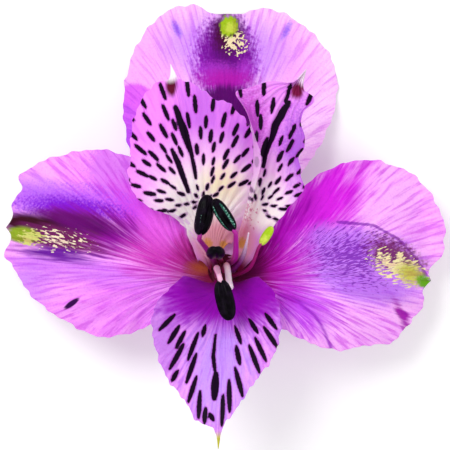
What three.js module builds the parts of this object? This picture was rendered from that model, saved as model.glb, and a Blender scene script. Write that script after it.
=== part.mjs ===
// A cut alstroemeria bloom (the florist's Peruvian lily), lying face up where it was put down.
// Six petals rise from a ring on top of the ovary: three broad outer ones, and three narrower
// inner ones between them. Inside stand six stamens round one style. The ovary hangs below on a
// short cut stalk, which bends and lies along the surface. The bloom rests on that stalk and on
// the drooping margins of its top petal.
//
// Millimetres, +Z up. Seen from above, +Y is the top petal's side and -Y the lower petal's side.
// Until the last lines, the origin is the throat: the middle of the ring that the petals stand on.

import * as THREE from "three";

// ---- Driving dimensions ----------------------------------------------------------------------

const GAP = 0.3; // between solids that touch on the real flower
const PETAL_THICKNESS = 0.6;

const STYLE_RADIUS = 0.6;
const FILAMENT_RADIUS = 0.42;
const STAMEN_CLEARANCE = 0.66; // between the style and the filaments at their feet
const ANTHER = { length: 8.1, width: 3.4, depth: 2.9 };

const OVARY = { length: 6.8, bellyRadius: 3.8, footRadius: 1.7, ribs: 6, ribDepth: 0.06 };
const AXIS_LEAN = 8; // degrees that the ovary's axis leans towards the top petal
const STALK = { radius: 1.25, length: 25, bendLength: 5, bendDrop: 2.5, bendRoom: 1.2 };
const LEFT_INNER_HALF_WIDTH = 12.8;

const CLAW_HALF_ANGLE = 34; // degrees of the ring that half a petal's foot takes
const INNER_RING_STEP = 0.8; // how much higher the inner ring stands than the outer one
const CLAW_RUN = 0.3; // how far a vein runs straight at its foot, as a share of its length
const EDGE_RUN = 0.34; // and where it meets the margin
const LIFT_POWER = 1.6; // how late a margin's lift sets in, from the middle vein outwards

const ACROSS_STEPS = 24; // mesh steps on a petal
const ALONG_STEPS = 12;

// The rings, from the style outwards: stamens, inner petals, outer petals.
const STAMEN_RING_RADIUS = STYLE_RADIUS + STAMEN_CLEARANCE + FILAMENT_RADIUS;
const INNER_RING_RADIUS = STAMEN_RING_RADIUS + FILAMENT_RADIUS + GAP + PETAL_THICKNESS / 2;
const OUTER_RING_RADIUS = INNER_RING_RADIUS + PETAL_THICKNESS + GAP;

// How far the top petal's margins droop below the throat, to rest where the stalk lies.
const DROOP = OVARY.length + STALK.bendRoom + 2 * STALK.radius;
// How far the right inner petal's margin stands over the left one, which is wider and under it.
const OVER_LEFT = LEFT_INNER_HALF_WIDTH / 2;

// ---- Petals ----------------------------------------------------------------------------------
// direction: degrees, where the petal points in plan; foot: degrees, where it stands on the ring.
// length and halfWidth are plan sizes. left, tip and right give the margin from the foot up the
// left side, round the tip and down the right side, as shares of halfWidth and of length.
// spread: the share of the length that the veins fan out from.
// rise: heights over the throat, riseStep apart, outwards from the ring.
// leftLift and rightLift: what the margins add to those heights.

const PETALS = [
  {
    name: "top_outer_petal",
    colour: 0xe08af5,
    ring: OUTER_RING_RADIUS,
    direction: 90,
    foot: 90,
    length: 50.4,
    halfWidth: 21.2,
    spread: 0.44,
    left: [
      [-0.5, 0.22], [-0.74, 0.32], [-0.87, 0.446], [-0.943, 0.655],
      [-0.844, 0.859], [-0.604, 0.996], [-0.32, 1.042], [-0.12, 1.008],
    ],
    tip: [0.02, 1.005],
    right: [
      [0.15, 1.006], [0.425, 1.026], [0.726, 0.964], [0.958, 0.86], [1.05, 0.75],
      [1.02, 0.62], [0.88, 0.48], [0.73, 0.39], [0.5, 0.25],
    ],
    riseStep: 9.36,
    rise: [0, 4, 5, 2, -0.33 * DROOP, -0.86 * DROOP],
    leftLift: [0, -0.5, -0.52 * DROOP, -1.19 * DROOP, -1.38 * DROOP, -0.86 * DROOP],
    rightLift: [0, -0.5, -0.52 * DROOP, -1.19 * DROOP, -1.38 * DROOP, -0.86 * DROOP],
  },
  {
    name: "left_outer_petal",
    colour: 0xd773f0,
    ring: OUTER_RING_RADIUS,
    direction: 169,
    foot: 210,
    length: 43.8,
    halfWidth: 17.7,
    spread: 0.217,
    left: [
      [-0.3, 0.08], [-0.62, 0.217], [-0.853, 0.342], [-0.983, 0.491], [-0.915, 0.616],
      [-0.79, 0.753], [-0.62, 0.858], [-0.43, 0.922], [-0.31, 0.98], [-0.1, 0.966],
    ],
    tip: [0, 1],
    right: [
      [0.12, 0.98], [0.28, 0.99], [0.46, 0.96], [0.565, 0.986], [0.757, 0.918], [0.904, 0.815],
      [1.04, 0.662], [1.02, 0.5], [0.84, 0.3], [0.6, 0.2], [0.3, 0.13],
    ],
    riseStep: 8.04,
    rise: [0, 6, 8.5, 7.5, 3.5, -2],
    leftLift: [0, 0, -2, -6, -7, -3],
    rightLift: [0, 0, -2, -4, -4, -1],
  },
  {
    name: "right_outer_petal",
    colour: 0xcf63ea,
    ring: OUTER_RING_RADIUS,
    direction: -3,
    foot: -30,
    length: 40.65,
    halfWidth: 18.7,
    spread: 0.246,
    left: [
      [-0.28, 0.14], [-0.56, 0.2], [-0.76, 0.28], [-1.064, 0.44], [-1.209, 0.59],
      [-1.225, 0.713], [-1.112, 0.881], [-0.888, 0.984], [-0.615, 1.048], [-0.3, 1.05],
      [-0.118, 0.989],
    ],
    tip: [0, 1],
    right: [
      [0.096, 0.964], [0.278, 0.964], [0.47, 0.898], [0.663, 0.822], [0.706, 0.701],
      [0.77, 0.561], [0.69, 0.406], [0.5, 0.234], [0.25, 0.1],
    ],
    riseStep: 7.41,
    rise: [0, 6, 9, 8.5, 4.5, -1.5],
    leftLift: [0, 0, -2, -4, -4, -2],
    rightLift: [0, 0, -2, -7, -9, -5],
  },
  {
    name: "left_inner_petal",
    colour: 0xf3c3ee,
    ring: INNER_RING_RADIUS,
    direction: 104.6,
    foot: 150,
    length: 41.3,
    halfWidth: LEFT_INNER_HALF_WIDTH,
    spread: 0.293,
    left: [
      [-0.18, 0.1], [-0.3, 0.2], [-0.48, 0.293], [-0.898, 0.387], [-1.0625, 0.508],
      [-0.94, 0.63], [-0.836, 0.738], [-0.64, 0.843], [-0.344, 0.925], [-0.08, 0.935],
    ],
    tip: [0, 1],
    right: [
      [0.07, 0.92], [0.266, 0.881], [0.516, 0.789], [0.7, 0.755], [0.914, 0.622],
      [0.9375, 0.421], [0.55, 0.23], [0.2, 0.11],
    ],
    riseStep: 7.72,
    rise: [INNER_RING_STEP, 7, 11.5, 14, 15, 14.5],
    leftLift: [0, 0, 1, 0, -1, 0],
    rightLift: [0, -0.4, -1.2, -2.5, -2, 0],
  },
  {
    name: "right_inner_petal",
    colour: 0xe9b4f0,
    ring: INNER_RING_RADIUS,
    direction: 67.9,
    foot: 30,
    length: 42,
    halfWidth: 9.5,
    spread: 0.28,
    left: [
      [0.04, 0.08], [0.03, 0.13], [0, 0.28], [-0.084, 0.429], [-0.168, 0.538], [-0.4, 0.61],
      [-0.8, 0.715], [-1.147, 0.774], [-0.968, 0.814], [-0.568, 0.886], [-0.158, 0.919],
    ],
    tip: [0, 1],
    right: [
      [0.095, 0.912], [0.358, 0.888], [0.274, 0.793], [0.4, 0.729], [0.579, 0.671],
      [0.526, 0.61], [0.842, 0.498], [0.81, 0.431], [0.56, 0.3], [0.38, 0.19], [0.22, 0.09],
    ],
    riseStep: 7.86,
    rise: [INNER_RING_STEP, 8.1, 12.9, 15.2, 16.5, 16],
    leftLift: [0, 0.5 * OVER_LEFT, 0.92 * OVER_LEFT, OVER_LEFT, 0.53 * OVER_LEFT, 1],
    rightLift: [0, 1, 1, 0, 0, 0],
  },
  {
    name: "lower_petal",
    colour: 0xc98ef2,
    ring: INNER_RING_RADIUS,
    direction: -90,
    foot: 270,
    length: 34.2,
    halfWidth: 12.4,
    spread: 0.035,
    left: [
      [-0.532, 0.035], [-0.782, 0.126], [-0.871, 0.249], [-0.855, 0.38], [-0.726, 0.503],
      [-0.5, 0.611], [-0.29, 0.719], [-0.097, 0.819], [0.03, 0.88],
    ],
    tip: [0.097, 1],
    right: [
      [0.17, 0.885], [0.427, 0.845], [0.613, 0.731], [0.871, 0.614], [1.048, 0.468],
      [1.129, 0.307], [1.04, 0.175], [0.645, 0.03],
    ],
    riseStep: 6.3,
    rise: [INNER_RING_STEP, 7, 13, 17, 19.5, 20],
    leftLift: [0, 6, 5, 3, 1, 0],
    rightLift: [0, 6, 5, 3, 1, 0],
  },
];

// ---- Stamens and style -----------------------------------------------------------------------
// foot: degrees on the stamen ring. route: the rest of the filament's points, as x and y from the
// throat and height over it. The anther goes on from the filament's tip along `points`; size is
// its share of a full anther. One stamen has lost its anther, and one anther is still unripe.

const STAMENS = [
  { name: "left", foot: 165, route: [[-2.8, 3.2, 9.5], [-4.9, 6.1, 16]], points: [1.7, 8, 1.2] },
  { name: "right", foot: 55, route: [[2.1, 2.6, 8.5], [2.2, 7.2, 15.5]], points: [-3.4, 5.2, 3.4] },
  {
    name: "centre",
    foot: 110,
    route: [[-0.9, 2.4, 7.5], [-1.7, 2.9, 14]],
    points: [0, 0.9, 5.6],
    size: 0.8,
  },
  { name: "lower", foot: 225, route: [[-1.5, 0.4, 8.5], [-1, -1, 17.5]], points: [1.9, -8, -0.4] },
  { name: "bare", foot: 0, route: [[3.6, 2.8, 8.6], [4.7, 7.4, 15]] },
  {
    name: "unripe",
    foot: 305,
    route: [[4.8, 0.4, 5.5], [6.6, 4.4, 10]],
    points: [1.6, 3.2, 1.2],
    size: 0.5,
    unripe: true,
  },
];
const STYLE_ROUTE = [[0.5, 0.8, 6.5], [1, -3.6, 12.1]];

// ---- Materials -------------------------------------------------------------------------------

function finish(colour, roughness) {
  return new THREE.MeshStandardMaterial({ color: colour, roughness, metalness: 0 });
}

const PETAL_ROUGHNESS = 0.5;
const STALK_GREEN = finish(0x7d9a4a, 0.6);
const FILAMENT_PURPLE = finish(0xa0188c, 0.45);
const STYLE_PINK = finish(0xe79ad0, 0.45);
const ANTHER_DARK = finish(0x1c0f1c, 0.35);
const ANTHER_GREEN = finish(0xb4dc28, 0.5);

// ---- Small helpers ---------------------------------------------------------------------------

const radians = THREE.MathUtils.degToRad;

function inPlan(degrees, radius) {
  return new THREE.Vector2(Math.cos(radians(degrees)), Math.sin(radians(degrees))).multiplyScalar(radius);
}

// The value of a smooth curve through evenly spaced numbers, a number of steps along them.
function smooth(values, steps) {
  const curve = new THREE.SplineCurve(values.map((value, i) => new THREE.Vector2(i, value)));
  return curve.getPoint(THREE.MathUtils.clamp(steps / (values.length - 1), 0, 1)).y;
}

function named(name, geometry, material) {
  const mesh = new THREE.Mesh(geometry, material);
  mesh.name = name;
  return mesh;
}

// ---- Petal surface ---------------------------------------------------------------------------
// u runs from the left margin (-1) to the right one (1), and v from the foot (0) to the margin (1).
// Each u is one vein: it starts on the ring, runs up the claw and fans out to its margin point.
// The height depends on how far out the point is, and on how near it is to a margin.

function petalSurface(petal) {
  const along = inPlan(petal.direction, 1);
  const across = new THREE.Vector2(along.y, -along.x);
  const place = ([side, forward]) =>
    new THREE.Vector2()
      .addScaledVector(across, side * petal.halfWidth)
      .addScaledVector(along, forward * petal.length);
  const leftMargin = new THREE.SplineCurve([...petal.left, petal.tip].map(place));
  const rightMargin = new THREE.SplineCurve([petal.tip, ...petal.right].map(place));
  const fanCentre = place([0, petal.spread]);

  return function point(u, v) {
    const foot = inPlan(petal.foot - u * CLAW_HALF_ANGLE, petal.ring);
    const edge = u < 0 ? leftMargin.getPointAt(1 + u) : rightMargin.getPointAt(u);
    const length = edge.distanceTo(foot);
    const outward = edge.clone().sub(fanCentre).normalize();
    const vein = new THREE.CubicBezierCurve(
      foot,
      foot.clone().addScaledVector(along, CLAW_RUN * length),
      edge.clone().addScaledVector(outward, -EDGE_RUN * length),
      edge,
    ).getPoint(v);
    const reach = Math.max(0, vein.length() - petal.ring) / petal.riseStep;
    const lift = smooth(u < 0 ? petal.leftLift : petal.rightLift, reach);
    return new THREE.Vector3(vein.x, vein.y, smooth(petal.rise, reach) + lift * Math.abs(u) ** LIFT_POWER);
  };
}

// A thin slab bent onto the surface: its two faces lie half a thickness either side of it.
function petalGeometry(petal) {
  const point = petalSurface(petal);
  const geometry = new THREE.BoxGeometry(2, 1, 1, ACROSS_STEPS, ALONG_STEPS, 1);
  const position = geometry.attributes.position;
  const step = 0.01;
  for (let i = 0; i < position.count; i++) {
    const u = position.getX(i);
    const v = position.getY(i) + 0.5;
    const sideways = point(Math.min(u + step, 1), v).sub(point(Math.max(u - step, -1), v));
    const forwards = point(u, Math.min(v + step, 1)).sub(point(u, Math.max(v - step, 0)));
    const normal = sideways.cross(forwards).normalize();
    const here = point(u, v).addScaledVector(normal, position.getZ(i) * PETAL_THICKNESS);
    position.setXYZ(i, here.x, here.y, here.z);
  }
  geometry.computeVertexNormals();
  return geometry;
}

// ---- Round stalks, anthers and ovary ---------------------------------------------------------

function roundStalk(curve, radius, sides, steps) {
  const section = new THREE.Shape().absarc(0, 0, radius, 0, Math.PI * 2);
  return new THREE.ExtrudeGeometry(section, { curveSegments: sides, steps, extrudePath: curve });
}

// A smooth route from a foot on a ring round the throat, just above the ovary.
function routeFrom(footDegrees, ringRadius, route) {
  const foot = inPlan(footDegrees, ringRadius);
  const start = new THREE.Vector3(foot.x, foot.y, GAP);
  return new THREE.CatmullRomCurve3([start, ...route.map((point) => new THREE.Vector3(...point))]);
}

// An unripe or small anther is shorter, but hardly slimmer.
function antherMesh(stamen, filamentTip) {
  const size = stamen.size ?? 1;
  const girth = (1 + size) / 2;
  const halfLength = (ANTHER.length * size) / 2;
  const geometry = new THREE.SphereGeometry(1, 12, 10);
  geometry.scale((ANTHER.width * girth) / 2, halfLength, (ANTHER.depth * girth) / 2);
  const mesh = named(`anther_${stamen.name}`, geometry, stamen.unripe ? ANTHER_GREEN : ANTHER_DARK);
  const direction = new THREE.Vector3(...stamen.points).normalize();
  mesh.quaternion.setFromUnitVectors(new THREE.Vector3(0, 1, 0), direction);
  mesh.position.copy(filamentTip).addScaledVector(direction, halfLength + GAP + FILAMENT_RADIUS);
  return mesh;
}

// A pear shape turned round its own +Y, swelling into ribs at mid height.
function ovaryGeometry() {
  const { length, bellyRadius, footRadius, ribs, ribDepth } = OVARY;
  const side = new THREE.SplineCurve([
    new THREE.Vector2(footRadius, 0),
    new THREE.Vector2(bellyRadius * 0.86, length * 0.3),
    new THREE.Vector2(bellyRadius, length * 0.62),
    new THREE.Vector2(OUTER_RING_RADIUS - GAP, length),
  ]).getPoints(8);
  const profile = [new THREE.Vector2(0, 0), ...side, new THREE.Vector2(0, length)];
  const geometry = new THREE.LatheGeometry(profile, ribs * 4);
  const position = geometry.attributes.position;
  for (let i = 0; i < position.count; i++) {
    const angle = Math.atan2(position.getZ(i), position.getX(i));
    const height = position.getY(i) / length;
    const swell = 1 + ribDepth * Math.cos(ribs * angle) * Math.sin(height * Math.PI);
    position.setX(i, position.getX(i) * swell);
    position.setZ(i, position.getZ(i) * swell);
  }
  return geometry;
}

// ---- Assembly --------------------------------------------------------------------------------

const flower = new THREE.Group();

for (const petal of PETALS) {
  flower.add(named(petal.name, petalGeometry(petal), finish(petal.colour, PETAL_ROUGHNESS)));
}

for (const stamen of STAMENS) {
  const curve = routeFrom(stamen.foot, STAMEN_RING_RADIUS, stamen.route);
  const filament = roundStalk(curve, FILAMENT_RADIUS, 6, 10);
  flower.add(named(`filament_${stamen.name}`, filament, FILAMENT_PURPLE));
  if (stamen.points) flower.add(antherMesh(stamen, curve.getPoint(1)));
}

flower.add(named("style", roundStalk(routeFrom(0, 0, STYLE_ROUTE), STYLE_RADIUS, 8, 10), STYLE_PINK));

// The ovary hangs below the ring along the leaning axis, clear of the petals' feet.
const axis = new THREE.Vector3(0, Math.sin(radians(AXIS_LEAN)), Math.cos(radians(AXIS_LEAN)));
const ringDip = OUTER_RING_RADIUS * Math.sin(radians(AXIS_LEAN));
const ovary = named("ovary", ovaryGeometry(), STALK_GREEN);
ovary.quaternion.setFromUnitVectors(new THREE.Vector3(0, 1, 0), axis);
ovary.position.copy(axis).multiplyScalar(-(OVARY.length + ringDip + PETAL_THICKNESS / 2 + GAP));
flower.add(ovary);

// The stalk goes down from the ovary's foot, round a bend and along the surface to its cut end.
// That surface is where the top petal's margins rest too.
const lyingHeight = new THREE.Box3().setFromObject(flower).min.z + STALK.radius;
const stalkTop = ovary.position.clone().addScaledVector(axis, -2 * GAP);
const bendEnd = new THREE.Vector3(stalkTop.x, stalkTop.y - STALK.bendLength, lyingHeight);
const bendCorner = stalkTop.clone().addScaledVector(axis, -STALK.bendDrop).setZ(lyingHeight);
const bend = new THREE.QuadraticBezierCurve3(stalkTop, bendCorner, bendEnd);
const cutEnd = bendEnd.clone().setY(bendEnd.y - (STALK.length - bend.getLength()));
const stalkPath = new THREE.CurvePath();
stalkPath.add(bend);
stalkPath.add(new THREE.LineCurve3(bendEnd, cutEnd));
flower.add(named("cut_stalk", roundStalk(stalkPath, STALK.radius, 12, 16), STALK_GREEN));

// The part's own origin is the middle of the bloom's footprint, on the surface that it lies on.
const box = new THREE.Box3().setFromObject(flower);
const middle = box.getCenter(new THREE.Vector3());
flower.position.set(-middle.x, -middle.y, -box.min.z);

export default flower;
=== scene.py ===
from functools import partial
import math

import bpy
import numpy as np
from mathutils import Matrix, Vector


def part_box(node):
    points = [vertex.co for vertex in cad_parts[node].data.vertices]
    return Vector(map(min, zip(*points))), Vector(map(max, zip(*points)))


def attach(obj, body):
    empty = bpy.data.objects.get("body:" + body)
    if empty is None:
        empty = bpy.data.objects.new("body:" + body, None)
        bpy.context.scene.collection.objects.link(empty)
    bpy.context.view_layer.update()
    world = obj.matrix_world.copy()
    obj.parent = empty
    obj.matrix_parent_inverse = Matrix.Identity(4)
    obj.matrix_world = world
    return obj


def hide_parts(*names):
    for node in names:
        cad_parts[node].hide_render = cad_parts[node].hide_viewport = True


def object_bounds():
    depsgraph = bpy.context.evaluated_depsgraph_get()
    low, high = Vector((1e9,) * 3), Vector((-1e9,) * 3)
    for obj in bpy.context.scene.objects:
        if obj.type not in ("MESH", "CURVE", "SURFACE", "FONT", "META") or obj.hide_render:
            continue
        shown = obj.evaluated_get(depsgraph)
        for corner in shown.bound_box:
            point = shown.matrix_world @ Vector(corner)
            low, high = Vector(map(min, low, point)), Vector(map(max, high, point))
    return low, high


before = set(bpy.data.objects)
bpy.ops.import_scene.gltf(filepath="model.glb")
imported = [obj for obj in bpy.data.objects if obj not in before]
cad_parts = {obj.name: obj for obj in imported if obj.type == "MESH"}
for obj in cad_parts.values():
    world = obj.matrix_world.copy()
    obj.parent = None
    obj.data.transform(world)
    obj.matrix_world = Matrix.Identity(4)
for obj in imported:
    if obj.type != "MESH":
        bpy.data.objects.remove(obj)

# A cut alstroemeria bloom, lying face up and seen from straight above.
# Lengths in the dictionaries are millimetres, measured from the throat: x to the right, y towards
# the top petal, z up. newPiece turns them into the frame's metres.

mm = 0.001
cadLow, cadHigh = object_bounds()


# ---- small tools

def linear(hexColour):  # sRGB hex to the linear colour that nodes take
    channels = np.array([int(hexColour[i:i + 2], 16) for i in (1, 3, 5)]) / 255
    low = channels / 12.92
    high = ((channels + 0.055) / 1.055) ** 2.4
    return (*np.where(channels <= 0.04045, low, high).tolist(), 1.0)


def addNode(tree, kind, inputs={}, output=0, **settings):
    # An input that is a socket is linked, a hex colour is turned linear, and any other is set.
    node = tree.nodes.new("ShaderNode" + kind)
    for key, value in settings.items():
        setattr(node, key, value)
    for key, value in inputs.items():
        if isinstance(value, bpy.types.NodeSocket):
            tree.links.new(value, node.inputs[key])
        else:
            node.inputs[key].default_value = linear(value) if isinstance(value, str) else value
    return node.outputs[output] if node.outputs else node


def newMaterial(name):  # an empty material, addNode for its tree and the object coordinates
    material = bpy.data.materials.new(name)
    material.use_nodes = True
    material.node_tree.nodes.clear()
    add = partial(addNode, material.node_tree)
    return material, add, add("TexCoord", output="Object")


def layOver(add, under, over, driver, low, high, share=1, blend="MIX"):
    # The colour over covers its share of the colour under, smoothly as the driver passes from low
    # to high.
    amount = add("MapRange", {0: driver, 1: low, 2: high, 4: share}, interpolation_type="SMOOTHSTEP")
    inputs = {0: amount, 6: under, 7: over}
    return add("Mix", inputs, output=2, data_type="RGBA", blend_type=blend)


def spline(knots, t):
    # Catmull-Rom curve through evenly spaced knots, for any array of t from 0 to 1. Each stretch
    # is the cubic that leaves a knot towards its two neighbours' difference.
    knots = np.asarray(knots, float)
    last = len(knots) - 1
    place = np.clip(t, 0, 1) * last
    i = np.minimum(place.astype(int), last - 1)
    f = (place - i).reshape(place.shape + (1,) * (knots.ndim - 1))
    before, here = knots[np.maximum(i - 1, 0)], knots[i]
    there, after = knots[i + 1], knots[np.minimum(i + 2, last)]
    leaving, arriving = (there - before) / 2, (after - here) / 2
    cubic = 2 * here - 2 * there + leaving + arriving
    square = 3 * there - 3 * here - 2 * leaving - arriving
    return ((cubic * f + square) * f + leaving) * f + here


def evenSpline(knots, t):  # the same curve, with t as a share of its arc length
    fine = np.linspace(0, 1, 600)
    steps = np.linalg.norm(np.diff(spline(knots, fine), axis=0), axis=1)
    length = np.concatenate([[0], np.cumsum(steps)])
    return spline(knots, np.interp(t, length / length[-1], fine))


def unit(vectors):
    return vectors / np.maximum(np.linalg.norm(vectors, axis=-1, keepdims=True), 1e-9)


def smoothStep(low, high, x):
    t = np.clip((x - low) / (high - low), 0, 1)
    return t * t * (3 - 2 * t)


def heading(degrees):
    angle = np.radians(degrees)
    return np.stack([np.cos(angle), np.sin(angle)], axis=-1)


def lineDistance(x, y, points):
    # Distance from every x, y to the nearest stretch of a line through the points, and how far
    # along the line that nearest place is, from 0 to 1.
    points = np.asarray(points, float)
    start, run = points[:-1], np.diff(points, axis=0)
    place = np.stack([x, y], axis=-1)[..., None, :] - start
    along = np.clip((place * run).sum(-1) / (run * run).sum(-1), 0, 1)
    gap = np.linalg.norm(place - along[..., None] * run, axis=-1)
    nearest = gap.argmin(-1)
    share = (nearest + np.take_along_axis(along, nearest[..., None], -1)[..., 0]) / len(run)
    return gap.min(-1), share


def addObject(name, data):
    thing = bpy.data.objects.new(name, data)
    bpy.context.scene.collection.objects.link(thing)
    return thing


def newPiece(name, points, faces, fields, material, node):
    # Each field holds one number for each vertex, for the material to read.
    mesh = bpy.data.meshes.new(name)
    mesh.from_pydata(((points + throat) * mm).tolist(), [], faces)
    mesh.polygons.foreach_set("use_smooth", np.ones(len(mesh.polygons), bool))
    for key, values in fields.items():
        mesh.attributes.new(key, "FLOAT", "POINT").data.foreach_set("value", values.astype(np.float32))
    if "across" in fields:
        corners = np.empty(len(mesh.loops), int)
        mesh.loops.foreach_get("vertex_index", corners)
        flat = np.stack([fields["across"], fields["along"]], axis=-1)[corners]
        mesh.uv_layers.new(name="veins").data.foreach_set("uv", flat.astype(np.float32).ravel())
    mesh.materials.append(material)
    mesh.update()
    piece = addObject(name, mesh)
    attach(piece, "root")
    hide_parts(node)


def gridQuads(rows, columns, offset=0):  # faces of a rows by columns grid of vertices
    corner = np.arange(rows * columns).reshape(rows, columns) + offset
    cell = [corner[:-1, :-1], corner[1:, :-1], corner[1:, 1:], corner[:-1, 1:]]
    return np.stack(cell, -1).reshape(-1, 4)


# ---- petals
# A petal's foot lies on its ring round the throat, at the angle foot and inset inwards, and the
# petal runs out in its direction. left, tip and right give the margin from the foot round the tip,
# as shares of halfWidth and length. Its veins fan out from spread, or it has a middle line.
# rise: heights over the throat, riseStep apart outwards; lifts: what the left and right margins
# add; ruffle: height and waves of the margin; hump: x, y, radius, height; pleats: height, number;
# folds: depth, width, points; veining: how plain the veins are; dashCentre and dashSpan: the middle
# of the rings of dashes and the angles they fill; dashes: the ends of single ones; stripes: half
# width and points.
# zones: patches of the skin, its own colour or painted shade where marked, from under to over:
# colour, grain, blend, a shape or a list of them, then strength (else 1) and sparseness (else 0). An
# oval is x, y, its two radii and its turn in degrees (else 0); a line is its half width and its
# points. grain names the noise that frays the edge, blend is how softly it ends, and sparseness is
# how much of it is broken away.

droop = 10.5
overLeft = 6.4
outerRing, ringStep = 3.6, 0.8
outer = {"slot": "outer_petal", "ring": outerRing, "inset": 0.4}
inner = {"slot": "upper_inner_petal", "ring": 2.7, "inset": 0, "folds": []}
clawHalfAngle, clawRun, edgeRun, liftPower = 46, 0.3, 0.34, 1.6
# short waves that nibble a margin: height, radians from end to end and phase
fanNibbles = [(0.14, 61, 1), (0.13, 97, 0), (0.10, 151, 2)]
sideNibbles = [(0.16, 47, 0), (0.14, 83, 1)]

upperCrease = [(22, 9.4), (29, 8.8), (34, 6), (37.6, 2.2), (39.6, -1)]
lowerCrease = [(10.7, -4.9), (14.5, -6.2), (17.6, -8.8), (19.6, -12), (21.5, -17)]
topLift = [0, -0.5, -0.52 * droop, -1.19 * droop, -1.38 * droop, -0.86 * droop]

petals = {}
petals["topOuterPetal"] = dict(
    outer, node="top_outer_petal", direction=90, foot=90,
    length=50.4, halfWidth=21.2, spread=0.44,
    left=[(-0.5, 0.22), (-0.74, 0.32), (-0.87, 0.446), (-0.943, 0.655),
          (-0.844, 0.859), (-0.604, 0.996), (-0.32, 1.042), (-0.12, 1.008)],
    tip=(0.02, 1.005),
    right=[(0.15, 1.006), (0.425, 1.026), (0.726, 0.964), (0.958, 0.86), (1.05, 0.75),
           (1.02, 0.62), (0.88, 0.48), (0.73, 0.39), (0.5, 0.25)],
    riseStep=9.36, rise=[0, 4, 5, 2, -0.33 * droop, -0.86 * droop],
    lifts=(topLift, topLift), ruffle=(0.35, 7), hump=(1.1, 48, 2.2, 0.9), pleats=(0.10, 11),
    folds=[(-0.5, 0.7, [(-9.8, 48.5), (-8.9, 45)]), (-0.5, 0.7, [(12.9, 48.5), (11.4, 45)]),
           (-0.7, 1.1, [(-21, 37), (-15.5, 31), (-14, 22)])],
    pale="#fecbfe", vein="#f4a4fb", back="#f3c4f6", veining=0.5,
    zones=[
        ("#f9acfd", "silk", 0.9, [(-15, 38, 8, 12), (13, 40, 4.6, 8)]),
        ("#cf8ffc", "silk", 0.9, [(-8, 44.5, 4.6, 4.5, 25), (8.4, 43, 4.6, 5, -15)], 0.75),
        # the next two patches are painted shade along the top petal's lower left margin
        ("#e468f8", "soft", 0.05, (-18, 26, 7, 10.8)),
        ("#b84eea", "streak", 0.8, (-19, 22, 4.4, 9, 12)),
        ("#7d4ae6", "mottle", 0.9, [(-9.4, 47.6, 1.6, 0.6, -62), (12.3, 47.4, 1.8, 0.6, 62)], 0.8),
        ("#bd72ee", "silk", 0.8, (0.3, 41.6, 6.6, 9), 0.8),
        ("#9c1cc6", "hair", 0.45, (0.2, 41.4, 5.6, 7.8)),
        ("#8a10b0", "fine", 0.5, (0.2, 41.6, 4.9, 7)),
        ("#5e0474", "fine", 0.8, (0.5, 43.4, 4, 4.6)),
        ("#420330", "fine", 0.6, (0.5, 46.9, 2.9, 3.8)),
        ("#b93ad0", "mottle", 0.8, [(-1.6, 38.8, 3.6, 1.9), (4, 39, 1.8, 1.9)], 0.6),
        ("#b414aa", "fine", 0.7, (0.3, 37.2, 5, 1.9), 0.85),
        # the next two patches are painted shade: the dark V where the inner petals shade the top
        # petal's base, running down towards the throat
        ("#6c0f80", "streak", 0.9, (0, 18, 3.4, 7.5)),
        ("#5a0068", "silk", 0.2, (0.4, 31.2, 6.2, 5)),
        ("#ecdcae", "speckle", 0.14, (1.9, 45.1, 2, 2.7, 25), 1, 0.22),
        ("#9abc18", "fine", 0.2, (0.9, 48.1, 1.7, 2.1)),
        ("#d4dc58", "hair", 0.5, (1.1, 47.8, 1, 1.1), 0.6),
    ],
)
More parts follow.
